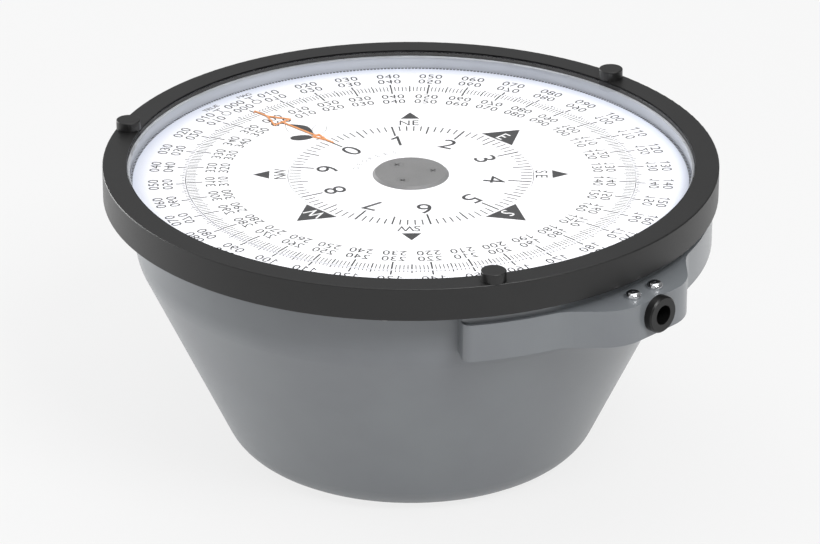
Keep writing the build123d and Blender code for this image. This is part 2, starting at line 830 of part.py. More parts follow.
def make_motor():
    """The stepper's case with its two ears and pilot, open for the shaft."""
    centre = (motor_x, motor_y)
    with BuildPart() as body:
        add(shaft(motor_r, chassis_z - motor_len, chassis_z, centre))
        fillet(body.faces().sort_by(Axis.Z)[0].edges(), motor_ear_t)
        with BuildSketch(Plane.XY.offset(chassis_z)):
            with Locations(centre):
                SlotCenterToCenter(2 * motor_ear_pitch, 2 * motor_ear_r)
        extrude(amount=-motor_ear_t)
        add(shaft(motor_pilot_r, chassis_z, chassis_z + motor_pilot_h, centre))
        with BuildSketch(Plane(origin=(*centre, chassis_z + motor_pilot_h))):
            Circle(motor_shaft_r + run_gap)
        extrude(amount=-(motor_shaft_socket + motor_pilot_h + side_gap), mode=Mode.SUBTRACT)
        with BuildSketch(Plane.XY.offset(chassis_z)):
            with Locations(*motor_screw_points()):
                Circle(m3_r + screw_gap)
        extrude(amount=-motor_ear_t, mode=Mode.SUBTRACT)
    return body.part


# ---------------------------------------------------------------------------------------------
# Electronics and the base connector
# ---------------------------------------------------------------------------------------------
def board_points():
    """The pillars of the driver board."""
    step = 360 / board_pillar_count
    return [place(step * (k + 0.5), board_pillar_pitch_r) for k in range(board_pillar_count)]


def make_driver_board():
    """The round circuit board in the base."""
    with BuildPart() as body:
        with BuildSketch(Plane.XY.offset(board_z)):
            Circle(board_r)
            with Locations(*board_points()):
                Circle(m3_r + pass_gap, mode=Mode.SUBTRACT)
        extrude(amount=board_t)
    return body.part


def make_board_parts():
    """Chips, capacitors and terminals on the driver board: (x, y, width, depth, height)."""
    chips = ((0, 20, 14, 14, 1.6), (-24, 12, 10, 10, 1.6), (24, 12, 10, 10, 1.6), (0, -6, 8, 6, 1.4),
             (0, -36, 36, 10, 10), (-38, -8, 12, 16, 8), (30, -12, 7, 4, 2))
    cans = ((40, 4), (40, -10), (-8, 42), (8, 42))
    with BuildPart() as body:
        for x, y, w, d, h in chips:
            with BuildSketch(Plane(origin=(x, y, board_z + board_t))):
                Rectangle(w, d)
            extrude(amount=h)
        for x, y in cans:
            with BuildSketch(Plane(origin=(x, y, board_z + board_t))):
                Circle(can_r)
            extrude(amount=can_h)
    return body.part


def make_board_pillars():
    """Pillars that hold the driver board off the base."""
    with BuildPart() as one:
        add(shaft(board_pillar_r, base_t, board_z))
        with BuildSketch(Plane.XY.offset(board_z)):
            Circle(m3_r + screw_gap)
        extrude(amount=-board_screw_len, mode=Mode.SUBTRACT)
    return copies(one.part, board_points())


def lamp_spacer_points():
    """The spacers between the lamp board and the fixed ring."""
    step = 360 / lamp_spacer_count
    return [place(step * (k + 0.5), lamp_spacer_pitch_r) for k in range(lamp_spacer_count)]


def make_card_lamps():
    """The small lamps that light the dial from beneath."""
    with BuildPart() as body:
        with BuildSketch(Plane.XY.offset(ring_bottom_z - lamp_board_drop)):
            with PolarLocations(lamp_pitch_r, lamp_count):
                Rectangle(lamp_size, lamp_size)
        extrude(amount=lamp_h)
    return body.part


def make_mode_lamp(bearing):
    """A round lamp on the lamp board, flush with the fixed ring's face."""
    return shaft(led_r, ring_bottom_z - lamp_board_drop, ring_top_z, at_bearing(bearing, led_pitch_r))


def make_base_connector():
    """The round inlet, sunk in the base so that the bowl can stand."""
    flange_z = well_depth - conn_seal_t - conn_flange_t
    with BuildPart() as body:
        add(shaft(conn_r, conn_face_z, conn_top_z))
        add(shaft(conn_flange_r, flange_z, flange_z + conn_flange_t))
        with BuildSketch(Plane.XY.offset(conn_face_z)):
            Circle(conn_bore_r)
        extrude(amount=well_depth - conn_face_z, mode=Mode.SUBTRACT)
        with BuildSketch(Plane.XY.offset(well_depth)):
            Circle(conn_pin_r)
            with PolarLocations(conn_pin_pitch_r, conn_pin_count):
                Circle(conn_pin_r)
        extrude(amount=-conn_pin_len)
    return body.part


def make_connector_nut():
    """The hexagon nut inside the bowl."""
    with BuildPart() as body:
        with BuildSketch(Plane.XY.offset(well_top_z)):
            RegularPolygon(conn_nut_af / 2, 6, major_radius=False)
            Circle(conn_r + screw_gap, mode=Mode.SUBTRACT)
        extrude(amount=conn_nut_t)
    return body.part


# ---------------------------------------------------------------------------------------------
# Gimbal bushes
# ---------------------------------------------------------------------------------------------
def make_gimbal_bush():
    """The forward bush: a flanged sleeve with a waist that its two screws lock."""
    inner_y = boss_reach - bush_len
    waist_low = bush_screw_reach - bush_groove_w / 2
    waist_high = bush_screw_reach + bush_groove_w / 2
    with BuildPart() as body:
        with BuildSketch(Plane.XY) as profile:
            with BuildLine():
                Polyline((bush_bore_r, inner_y), (bush_body_r, inner_y), (bush_body_r, waist_low),
                         (bush_groove_r, waist_low), (bush_groove_r, waist_high), (bush_body_r, waist_high),
                         (bush_body_r, boss_reach), (bush_flange_r, boss_reach), (bush_flange_r, bush_face),
                         (bush_bore_r, bush_face), close=True)
            make_face()
            chamfer(profile.vertices().sort_by_distance((bush_flange_r, bush_face, 0))[0], bush_edge)
        revolve(axis=Axis.Y)
    return body.part.moved(Location((0, 0, bush_z)))


def make_bush_screws():
    """The two dome headed screws on top of the forward boss."""
    one = dome_screw(m3_r, bush_screw_head_r, bush_screw_head_h, bush_screw_len, pad_top_z)
    return copies(one, [(-bush_screw_spread, bush_screw_reach), (bush_screw_spread, bush_screw_reach)])


# ---------------------------------------------------------------------------------------------
# Build every piece and write it
# ---------------------------------------------------------------------------------------------
os.makedirs("parts", exist_ok=True)
here = (idler_x, idler_y)
motor_at = (motor_x, motor_y)
half_tooth = 180 / pinion_teeth
lamp_z = ring_bottom_z - lamp_board_drop
hub_top_z = card_top_z + hub_rise
fine_bush_rim_z = chassis_z - bush_rim
gimbal_bush = make_gimbal_bush()
bush_screws = make_bush_screws()
hub_screw = flat_screw(m3_r, m3_head_r, m3_head_h, hub_top_z - fine_flange_z - side_gap, hub_top_z)
plate_screw_len = top_plate_t + plate_screw_depth - tip_gap
chassis_screw_len = chassis_t + chassis_screw_depth - tip_gap
plate_screw = flat_screw(m3_r, m3_head_r, m3_head_h, plate_screw_len, top_plate_top_z)
motor_screw = flat_screw(m3_r, m3_head_r, m3_head_h, motor_screw_len, chassis_top_z)
chassis_screw = dome_screw(m4_r, m4_head_r, m4_head_h, chassis_screw_len, chassis_top_z)
board_screw = dome_screw(m3_r, m3_head_r, m3_head_h, board_t + board_screw_len - tip_gap, board_z + board_t)
post_points = [place(post_first_angle + 360 * k / post_count, post_pitch_r) for k in range(post_count)]

# Case
write(make_bowl(), "bowl")
write(make_bezel(), "bezel_ring")
write(make_studs(), "azimuth_studs")
write(make_window(), "window_glass")
write(ring(seal_bore_r - 2 * fit_gap, window_gasket_r, surround_top_z, window_gasket_t), "window_gasket")
write(ring(surround_r, surround_bore_r, flange_top_z, surround_top_z - flange_top_z), "dial_surround")
write(make_bezel_gasket(), "bezel_gasket")
write(make_bezel_screws(), "bezel_screws")
write(gimbal_bush, "gimbal_bush_fore")
write(gimbal_bush.mirror(Plane.XZ), "gimbal_bush_aft")
write(bush_screws, "bush_screws_fore")
write(bush_screws.mirror(Plane.XZ), "bush_screws_aft")

# Dial
write(make_bearing_ring(), "bearing_ring")
write(make_lubber_pointer(), "lubber_pointer")
write(ring(card_r, card_bore_r, card_bottom_z, card_t), "compass_card")
write(make_carrier(), "card_carrier")
write(ring(fine_card_r, fine_hub_hole_r, card_bottom_z, card_t), "fine_card")
write(make_hub_cap(), "hub_cap")
write(copies(hub_screw, hub_screw_points()), "hub_screws")

# Movement
write(make_fine_shaft(), "fine_shaft")
write(make_clip(), "shaft_clip")
write(gear(pinion_teeth, idler_angle + half_tooth, fine_pinion_z, pinion_t, fine_shaft_r + seat_gap),
      "fine_pinion")
write(make_sleeve(), "card_sleeve")
write(ring(sleeve_bore_r - seat_gap, fine_shaft_r + run_gap, carrier_top_z - inner_bush_len, inner_bush_len),
      "sleeve_inner_bush")
write(gear(wheel_teeth, idler_angle, coarse_wheel_z, wheel_t, sleeve_r + seat_gap), "card_wheel")
write(shaft(idler_shaft_r, chassis_z + idler_tail, top_plate_top_z - idler_tail, here), "idler_arbor")
write(gear(wheel_teeth, idler_angle, idler_wheel_z, wheel_t, idler_shaft_r + seat_gap, here,
           (idler_hub_r, chassis_top_z + side_gap, idler_wheel_z)), "idler_wheel")
write(gear(pinion_teeth, idler_angle + half_tooth + 180, idler_pinion_z, pinion_t,
           idler_shaft_r + seat_gap, here, (idler_collar_r, idler_wheel_z + wheel_t, idler_pinion_z)),
      "idler_pinion")
write(bush(fine_shaft_r, fine_bush_rim_z, chassis_top_z, fine_bush_rim_z, chassis_z), "fine_bush")
write(bush(sleeve_r, top_plate_z, top_plate_top_z, top_plate_top_z, top_plate_top_z + bush_rim),
      "sleeve_bush")
write(bush(idler_shaft_r, chassis_z, chassis_top_z, fine_bush_rim_z, chassis_z, here), "idler_bush_lower")
write(bush(idler_shaft_r, top_plate_z, top_plate_top_z, top_plate_top_z, top_plate_top_z + bush_rim, here),
      "idler_bush_upper")
write(make_chassis_plate(), "chassis_plate")
write(make_top_plate(), "top_plate")
write(make_pillars(), "plate_pillars")
write(copies(plate_screw, pillar_points()), "plate_screws")
write(copies(chassis_screw, post_points), "chassis_screws")
write(make_motor(), "motor_case")
write(copies(motor_screw, motor_screw_points()), "motor_screws")
write(shaft(motor_shaft_r, chassis_z - motor_shaft_socket, chassis_z + motor_shaft_reach, motor_at),
      "motor_shaft")
write(gear(pinion_teeth, motor_turn + 180 + half_tooth, fine_pinion_z, pinion_t,
           motor_shaft_r + seat_gap, motor_at), "motor_pinion")

# Electronics
write(make_driver_board(), "driver_board")
write(make_board_parts(), "board_parts")
write(make_board_pillars(), "board_pillars")
write(copies(board_screw, board_points()), "board_screws")
write(ring(lamp_board_r, lamp_board_bore_r, lamp_z - lamp_board_t, lamp_board_t), "lamp_board")
write(copies(shaft(lamp_spacer_r, lamp_z, ring_bottom_z), lamp_spacer_points()), "lamp_spacers")
write(make_card_lamps(), "card_lamps")
write(make_mode_lamp(-led_half_angle), "led_true")
write(make_mode_lamp(led_half_angle), "led_mag")
write(make_base_connector(), "base_connector")
write(ring(conn_seal_r, conn_r + fit_gap, well_depth - conn_seal_t, conn_seal_t), "connector_seal")
write(make_connector_nut(), "connector_nut")
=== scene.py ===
# %% [markdown]
# # A ship's bearing repeater bowl
# The object is a compass repeater: a painted casting with a black bezel, a clear window, and under
# it a white dial with a fixed ring, a turning card, and a fine card that makes one turn for each
# ten degrees. The solids come from the CAD frame, so this lesson adds what a CAD model leaves out:
# the printed figures and marks, the finishes, the light and the camera. First the frame is loaded.

# %% Load the frame
import json
from math import cos, pi, radians, sin

import bpy
from mathutils import Matrix, Vector


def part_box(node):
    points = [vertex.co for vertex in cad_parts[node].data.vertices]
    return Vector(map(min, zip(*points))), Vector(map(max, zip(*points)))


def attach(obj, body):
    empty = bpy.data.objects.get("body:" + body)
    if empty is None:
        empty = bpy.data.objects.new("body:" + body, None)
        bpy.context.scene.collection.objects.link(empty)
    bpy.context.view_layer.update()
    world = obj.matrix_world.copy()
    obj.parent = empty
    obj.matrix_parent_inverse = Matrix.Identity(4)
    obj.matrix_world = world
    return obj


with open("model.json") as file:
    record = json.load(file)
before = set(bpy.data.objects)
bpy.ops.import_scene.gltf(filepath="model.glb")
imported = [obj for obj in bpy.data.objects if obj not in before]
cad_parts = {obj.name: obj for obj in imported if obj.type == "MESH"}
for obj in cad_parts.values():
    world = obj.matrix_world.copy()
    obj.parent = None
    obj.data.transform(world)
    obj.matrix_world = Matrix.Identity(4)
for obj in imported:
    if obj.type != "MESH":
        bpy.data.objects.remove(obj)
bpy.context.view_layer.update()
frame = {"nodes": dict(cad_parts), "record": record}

nodes = frame["nodes"]
MM = 0.001
WAVE_SIZE = 20  # a Wave texture of scale 1 repeats twenty times in a unit

# %% [markdown]
# ## Heights and radii taken from the frame
# Every printed mark lies on a card or on the fixed ring, so their heights and edges are read from
# the CAD nodes. Bearings count clockwise from forward, which is +Y.

# %% Read the dial's levels
ring_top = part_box("bearing_ring")[1].z
card_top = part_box("compass_card")[1].z
card_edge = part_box("compass_card")[1].x
fine_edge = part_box("fine_card")[1].x
bezel_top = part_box("bezel_ring")[1].z
print("ring top", round(ring_top / MM, 2), "card edge", round(card_edge / MM, 2), "mm")

# %% [markdown]
# ## Small helpers
# `paint` turns an sRGB hex colour into the linear values that shaders use. `add_node` adds one
# shader node with its settings and its links, and `new_material` starts a material from a plain
# Principled shader whose uniform values are set on its own sockets. The others are the few steps
# that every finish repeats: a noise of a real size, a range, a pair of tints and a low bump.

# %% Colour and node helpers
def paint(code):
    """An sRGB hex colour such as "#9a9da0" as linear red, green, blue and alpha."""
    values = [int(code[i:i + 2], 16) / 255 for i in (1, 3, 5)]
    return [v / 12.92 if v <= 0.04045 else ((v + 0.055) / 1.055) ** 2.4 for v in values] + [1.0]


def add_node(tree, kind, settings=None, links=None):
    """One shader node. Settings name its sockets or properties, links name the sockets they feed."""
    made = tree.nodes.new(kind)
    for name, value in (settings or {}).items():
        if isinstance(name, int) or name in made.inputs:
            made.inputs[name].default_value = value
        else:
            setattr(made, name, value)
    for name, source in (links or {}).items():
        tree.links.new(source, made.inputs[name])
    return made


def new_material(name, colour, **values):
    """A material with a Principled shader: base colour and uniform values on its own sockets."""
    made = bpy.data.materials.new(name)
    made.use_nodes = True
    tree = made.node_tree
    shader = tree.nodes["Principled BSDF"]
    shader.inputs["Base Color"].default_value = paint(colour)
    for socket, value in values.items():
        shader.inputs[socket.replace("_", " ")].default_value = value
    made.diffuse_color = paint(colour)
    return made, tree, shader


def object_place(tree):
    """The object's own coordinates, in metres."""
    return add_node(tree, "ShaderNodeTexCoord").outputs["Object"]


def grain(tree, size, detail=2.0):
    """A 0 to 1 noise whose features are about `size` metres across."""
    made = add_node(tree, "ShaderNodeTexNoise", {"Scale": 1.0 / size, "Detail": detail},
                    {"Vector": object_place(tree)})
    return made.outputs["Fac"]


def tool_rings(tree, pitch, waver):
    """A 0 to 1 wave of rings about the vertical axis, as a lathe tool leaves them."""
    made = add_node(tree, "ShaderNodeTexWave",
                    {"wave_type": "RINGS", "rings_direction": "Z", "Scale": 1 / (WAVE_SIZE * pitch),
                     "Distortion": waver, "Detail": 1.0}, {"Vector": object_place(tree)})
    return made.outputs["Fac"]


def between(tree, factor, low, high):
    """Turn a 0 to 1 pattern into a value from low to high."""
    made = add_node(tree, "ShaderNodeMapRange", {"To Min": low, "To Max": high}, {"Value": factor})
    return made.outputs["Result"]


def tint(tree, factor, first, second):
    """Mix two hex colours by a pattern."""
    ramp = add_node(tree, "ShaderNodeValToRGB", None, {"Fac": factor})
    ramp.color_ramp.elements[0].color = paint(first)
    ramp.color_ramp.elements[1].color = paint(second)
    ramp.color_ramp.elements[0].position = 0.3
    ramp.color_ramp.elements[1].position = 0.7
    return ramp.outputs["Color"]


def bump(tree, shader, *layers):
    """Raise the surface by layers of (height pattern, real distance in metres, strength)."""
    links = {}
    for height, distance, strength in layers:
        made = add_node(tree, "ShaderNodeBump", {"Distance": distance, "Strength": strength},
                        {"Height": height, **links})
        links = {"Normal": made.outputs["Normal"]}
    tree.links.new(links["Normal"], shader.inputs["Normal"])


def darker_where(tree, factor, colour, deeper):
    """Mix a colour socket towards a hex colour by a 0 to 1 factor."""
    mixed = add_node(tree, "ShaderNodeMix", {"data_type": "RGBA"})
    tree.links.new(factor, mixed.inputs[0])
    tree.links.new(colour, mixed.inputs[6])
    mixed.inputs[7].default_value = paint(deeper)
    return mixed.outputs[2]


# %% [markdown]
# ## Finishes of the case
# The bowl is an aluminium casting with a satin grey stoved paint. The paint keeps a little of the
# casting's skin: broad soft waves a centimetre or two across, a fine orange peel, and a few specks
# of dust under the film. Its gloss drifts over a few centimetres, and its colour is painted darker
# in the corners and hollows, as painted shade.

# %% Painted casting
def painted_casting():
    made, tree, shader = new_material("stoved_grey_paint", "#6e7275", Roughness=0.42,
                                      Coat_Weight=0.35, Coat_Roughness=0.16)
    drift = grain(tree, 35 * MM, 3.0)
    orange_peel = grain(tree, 0.8 * MM)
    cast_skin = grain(tree, 14 * MM)
    cells = add_node(tree, "ShaderNodeTexVoronoi", {"Scale": 1 / (5 * MM)},
                     {"Vector": object_place(tree)})
    specks = add_node(tree, "ShaderNodeMapRange", {"From Min": 0.03, "From Max": 0.05, "To Min": 1.0,
                                                   "To Max": 0.0}, {"Value": cells.outputs["Distance"]})
    # Painted shade: an ambient occlusion node darkens the paint's colour towards #54575a in corners and
    # hollows.
    corners = add_node(tree, "ShaderNodeAmbientOcclusion", {"samples": 8, "Distance": 9 * MM})
    film = darker_where(tree, between(tree, corners.outputs["AO"], 0.22, 0.0),
                        tint(tree, drift, "#66696d", "#6c7073"), "#54575a")
    tree.links.new(film, shader.inputs["Base Color"])
    tree.links.new(between(tree, drift, 0.36, 0.46), shader.inputs["Roughness"])
    bump(tree, shader, (cast_skin, 0.06 * MM, 0.5), (orange_peel, 0.02 * MM, 0.6),
         (specks.outputs["Result"], 0.03 * MM, 0.7))
    return made


# %% [markdown]
# The bezel and its studs are turned aluminium, bead blasted and anodised black. Blasting leaves a
# matt skin of tiny pits over faint turning rings, and the dye leaves a near black that lifts to grey
# in the light.

# %% Black anodised aluminium
def black_anodised():
    made, tree, shader = new_material("blasted_black_anodising", "#0f0f0f", Roughness=0.42,
                                      Specular_IOR_Level=0.45)
    pits = grain(tree, 0.35 * MM, 3.0)
    drift = grain(tree, 22 * MM)
    turning = tool_rings(tree, 0.4 * MM, 0.3)
    tree.links.new(tint(tree, drift, "#0d0d0d", "#111111"), shader.inputs["Base Color"])
    tree.links.new(between(tree, pits, 0.38, 0.5), shader.inputs["Roughness"])
    bump(tree, shader, (turning, 0.004 * MM, 0.4), (pits, 0.012 * MM, 0.6))
    return made


# %% [markdown]
# The window is flat toughened glass. It's clear, so the shader lets light straight through and
# adds only the mirror image of the room, by Fresnel, on its top face. Straight rays keep the dial's
# light clean, and a faint smear of cleaning shows in the gloss.

# %% Window glass
def window_glass():
    made, tree, shader = new_material("toughened_glass", "#fdfeff")
    tree.nodes.remove(shader)
    clear = add_node(tree, "ShaderNodeBsdfTransparent", {"Color": paint("#ffffff")})
    gloss = add_node(tree, "ShaderNodeBsdfGlossy", {"Color": paint("#ffffff"), "Roughness": 0.02})
    smear = grain(tree, 30 * MM, 3.0)
    tree.links.new(between(tree, smear, 0.01, 0.035), gloss.inputs["Roughness"])
    mirror = add_node(tree, "ShaderNodeFresnel", {"IOR": 1.3})
    face = add_node(tree, "ShaderNodeNewGeometry")
    outside = add_node(tree, "ShaderNodeMath", {"operation": "SUBTRACT", "use_clamp": True},
                       {0: mirror.outputs["Fac"], 1: face.outputs["Backfacing"]})
    slope = add_node(tree, "ShaderNodeSeparateXYZ", None, {0: face.outputs["Normal"]})
    upward = add_node(tree, "ShaderNodeMath", {"operation": "GREATER_THAN", 1: 0.5},
                      {0: slope.outputs["Z"]})
    share = add_node(tree, "ShaderNodeMath", {"operation": "MULTIPLY"},
                     {0: outside.outputs[0], 1: upward.outputs[0]})
    mix = add_node(tree, "ShaderNodeMixShader", None,
                   {0: share.outputs[0], 1: clear.outputs["BSDF"], 2: gloss.outputs["BSDF"]})
    tree.links.new(mix.outputs["Shader"], tree.nodes["Material Output"].inputs["Surface"])
    return made


# %% [markdown]
# ## Finishes of the dial
# The cards are white laminate with a satin skin, and the figures are screen printed in a soft
# black. A laminate is nearly even, so its grain is faint: a fine tooth and a slow drift of gloss.

# %% Card laminate and inks
def laminate_skin(tree, shader):
    """The satin tooth that every laminate has."""
    tooth = grain(tree, 0.5 * MM)
    tree.links.new(between(tree, tooth, 0.44, 0.56), shader.inputs["Roughness"])
    bump(tree, shader, (tooth, 0.006 * MM, 0.4))


def laminate(name, colour, other):
    made, tree, shader = new_material(name, colour, Roughness=0.5)
    drift = grain(tree, 28 * MM)
    tree.links.new(tint(tree, drift, colour, other), shader.inputs["Base Color"])
    laminate_skin(tree, shader)
    return made


def ring_laminate():
    """The ring's laminate, with a painted shadow of its wall: greyer and bluer towards its outer edge.
    """
    made, tree, shader = new_material("white_ring_laminate", "#f8f9fe", Roughness=0.5)
    place = add_node(tree, "ShaderNodeSeparateXYZ", None, {0: object_place(tree)})
    flat = add_node(tree, "ShaderNodeCombineXYZ", None,
                    {"X": place.outputs["X"], "Y": place.outputs["Y"]})
    radius = add_node(tree, "ShaderNodeVectorMath", {"operation": "LENGTH"}, {0: flat.outputs[0]})
    # Painted shadow of the wall: the colour runs from near white at 102 mm to bluish grey at the ring's
    # edge.
    shade = add_node(tree, "ShaderNodeMapRange",
                     {"From Min": 102 * MM, "From Max": 114 * MM, "To Min": 0.0, "To Max": 1.0,
                      "interpolation_type": "SMOOTHSTEP"}, {"Value": radius.outputs["Value"]})
    ramp = add_node(tree, "ShaderNodeValToRGB", None, {"Fac": shade.outputs["Result"]})
    ramp.color_ramp.elements[0].color = paint("#fbfbff")
    ramp.color_ramp.elements[1].color = paint("#c9cedb")
    tree.links.new(ramp.outputs["Color"], shader.inputs["Base Color"])
    laminate_skin(tree, shader)
    return made


def ink(name, colour, other, roughness=0.55):
    """Screen ink, a little patchy where the mesh of the screen laid less of it."""
    made, tree, shader = new_material(name, colour, Roughness=roughness)
    patches = grain(tree, 0.9 * MM)
    tree.links.new(tint(tree, patches, colour, other), shader.inputs["Base Color"])
    tree.links.new(between(tree, patches, roughness - 0.06, roughness + 0.06),
                   shader.inputs["Roughness"])
    return made


# %% [markdown]
# ## Plastics, rubber and metals
# These small parts share four recipes. A moulded plastic has a faint spark-eroded texture, a
# rubber is matt and dusty, a turned or ground metal carries the fine rings that the tool left
# round the axis, and the matt black of the bezel's bore is a flocked paint that hardly shines.

# %% Shared recipes
def moulded(name, colour, other, roughness=0.45, gloss=0.5):
    made, tree, shader = new_material(name, colour, Roughness=roughness, Specular_IOR_Level=gloss)
    texture = grain(tree, 0.4 * MM, 3.0)
    drift = grain(tree, 9 * MM)
    tree.links.new(tint(tree, drift, colour, other), shader.inputs["Base Color"])
    tree.links.new(between(tree, texture, roughness - 0.07, roughness + 0.07),
                   shader.inputs["Roughness"])
    bump(tree, shader, (texture, 0.01 * MM, 0.5))
    return made


def rubber(name, colour, other):
    made, tree, shader = new_material(name, colour, Roughness=0.8, Specular_IOR_Level=0.3)
    dust = grain(tree, 4 * MM, 4.0)
    tree.links.new(tint(tree, dust, colour, other), shader.inputs["Base Color"])
    bump(tree, shader, (dust, 0.03 * MM, 0.4))
    return made


def turned_metal(name, colour, other, roughness):
    made, tree, shader = new_material(name, colour, Metallic=1.0, Roughness=roughness)
    turning = tool_rings(tree, 0.25 * MM, 0.6)
    tarnish = grain(tree, 6 * MM, 3.0)
    tree.links.new(tint(tree, tarnish, colour, other), shader.inputs["Base Color"])
    tree.links.new(between(tree, turning, roughness - 0.05, roughness + 0.08),
                   shader.inputs["Roughness"])
    bump(tree, shader, (turning, 0.004 * MM, 0.5))
    return made


def flocked_paint(name, colour, other):
    made, tree, shader = new_material(name, colour, Roughness=0.9, Specular_IOR_Level=0.12)
    flock = grain(tree, 0.6 * MM, 3.0)
    tree.links.new(tint(tree, flock, colour, other), shader.inputs["Base Color"])
    bump(tree, shader, (flock, 0.02 * MM, 0.5))
    return made


# %% [markdown]
# ## One finish for each material slot of the record
# The record names a slot for every CAD node. Here each slot gets its finish, and each node's own
# material slots are filled with it.

# %% Make the finishes and give them to the CAD nodes
finishes = {
    "cast_bowl": painted_casting(),
    "bezel": black_anodised(),
    "glass": window_glass(),
    "seal": rubber("pale_silicone_rubber", "#a9acb1", "#b1b4b9"),
    # the surround is white acetal; its grey colour is painted shade, standing for the shade on its wall
    # under the bezel
    "surround": laminate("white_acetal_in_painted_shade", "#b4b8bf", "#aeb2ba"),
    "steel_screw": turned_metal("stainless_steel", "#9b9b9a", "#8c8c8b", 0.3),
    "chrome_screw": turned_metal("chrome_plate", "#e3e4e6", "#d9dadc", 0.09),
    "bush_plastic": moulded("black_acetal", "#0b0b0b", "#101010", 0.34, 0.3),
    "ring_white": ring_laminate(),
    "card_white": laminate("white_card_laminate", "#fcfcfe", "#fafafc"),
    "pointer_orange": ink("orange_lacquer", "#e99a58", "#e59352", 0.45),
    "plate_alu": turned_metal("rolled_aluminium", "#b9bbbd", "#aeb0b2", 0.38),
    "hub_grey": moulded("grey_abs", "#6f6f6f", "#757575", 0.5),
    "hub_screw": moulded("grey_painted_steel", "#6b6b6b", "#717171", 0.45),
    "steel_shaft": turned_metal("ground_steel", "#a9aaab", "#9d9e9f", 0.22),
    "brass_gear": turned_metal("cut_brass", "#c9a560", "#bd9750", 0.28),
    "bronze_bush": turned_metal("sintered_bronze", "#9a6f42", "#8a6038", 0.45),
    "brass_pillar": turned_metal("nickelled_brass", "#c8c2a8", "#bdb69a", 0.25),
    "motor_black": turned_metal("blackened_sheet_steel", "#3a3b3d", "#2f3032", 0.4),
    "board_green": laminate("solder_mask", "#1d5a37", "#236640"),
    "chip_black": moulded("epoxy_moulding", "#1a1a1b", "#212122", 0.5),
    "spacer_white": moulded("white_nylon", "#e2e1da", "#d8d7cf", 0.5),
    "lamp_white": moulded("lamp_body", "#ecebdc", "#e3e2d2", 0.4),
    "led_clear": moulded("clear_epoxy_lens", "#fdfdfe", "#f8f9fb", 0.2),
    "connector_metal": turned_metal("nickel_plate", "#a7a69f", "#9b9a93", 0.3),
}
for part in frame["record"]["subparts"]:
    shown = nodes[part["node"]]
    shown.data.materials.clear()
    shown.data.materials.append(finishes[part["material_slot"]])
print(len(finishes), "finishes on", len(nodes), "nodes")

# %% [markdown]
# ## Printing on the dial
# On the real dial the marks are screen printed. A texture would need an image, so each mark is a
# very thin closed solid that stands four hundredths of a millimetre proud of its card: sharp at any
# distance, and it turns with the card that it rides on. These helpers cover the whole print.

# %% Print helpers
INK = 0.04 * MM  # height of the print above its card
OVER = INK / 4  # how far a bolder mark stands above the marks that it crosses
WELD = 1e-7  # corners nearer than this, in metres, are one corner
THIN = 0.4 * MM  # width of a mark for one degree
MIDDLE = 0.52 * MM  # for five degrees
THICK = 0.68 * MM  # for ten degrees


def only(shown):
    """Make one object the only selected and active one."""
    bpy.ops.object.select_all(action="DESELECT")
    shown.select_set(True)
    bpy.context.view_layer.objects.active = shown


def weld(shown):
    """Merge doubles and turn every face outwards."""
    only(shown)
    bpy.ops.object.mode_set(mode="EDIT")
    bpy.ops.mesh.select_all(action="SELECT")
    bpy.ops.mesh.remove_doubles(threshold=WELD)
    bpy.ops.mesh.normals_make_consistent(inside=False)
    bpy.ops.object.mode_set(mode="OBJECT")


def at_bearing(bearing, radius, level):
    """The matrix that puts a mark at a bearing, its top outwards."""
    turn = Matrix.Rotation(-radians(bearing), 4, "Z")
    return turn @ Matrix.Translation((0, radius, level))


def finish_piece(shown, name, body, finish):
    """Name a piece, give it its finish and let it ride on its body."""
    shown.name = shown.data.name = name
    shown.data.materials.clear()
    shown.data.materials.append(finish)
    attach(shown, body)
    return shown


def joined(meshes, name, body, finish):
    """One piece made of many small meshes."""
    bpy.ops.object.select_all(action="DESELECT")
    for mesh in meshes:
        part = bpy.data.objects.new(name, mesh)
        bpy.context.scene.collection.objects.link(part)
        part.select_set(True)
        bpy.context.view_layer.objects.active = part
    bpy.ops.object.join()
    return finish_piece(bpy.context.object, name, body, finish)


def take_mesh(made):
    """Keep an object's mesh and remove the object."""
    kept = made.data.copy()
    bpy.data.objects.remove(made)
    return kept


def bars(count, inner, outer, width, level):
    """A ring of equal radial bars: one bar, then its copies spun round the axis."""
    bpy.ops.object.select_all(action="DESELECT")
    bpy.ops.mesh.primitive_cube_add(size=1, location=(0, (inner + outer) / 2, level + INK / 2),
                                    scale=(width, outer - inner, INK))
    bpy.ops.object.transform_apply()
    bpy.ops.object.mode_set(mode="EDIT")
    bpy.ops.mesh.select_all(action="SELECT")
    bpy.ops.mesh.spin(steps=count - 1, dupli=True, angle=2 * pi * (count - 1) / count,
                      center=(0, 0, 0), axis=(0, 0, 1))
    bpy.ops.object.mode_set(mode="OBJECT")
    return take_mesh(bpy.context.object)


# %% [markdown]
# ## Figures
# The dial's figures are a plain grotesque with every figure in a cell of the same width. Each
# character is made once, turned into a mesh and scaled to its printed height; a number is then its
# characters side by side. Blender's own 1 is a bare bar, so the 1 is drawn here with its flag. The
# dial also carries each number upside down, as in a mirror, for reading through a prism.

# %% Make a character once, and set a line of them
CELL = 0.777  # width of a figure's cell for a height of 1
ZERO_WIDE = 0.655  # width of the dial's 0 for a height of 1
CAPITAL = 0.729  # height of a capital in a text of size 1
FLAGGED_ONE = [(0.131, 0), (0.009, 0), (0.009, 0.782), (-0.1, 0.7), (-0.236, 0.646), (-0.236, 0.765),
               (-0.06, 0.87), (0.052, 1.0), (0.131, 1.0)]
lettering = {}


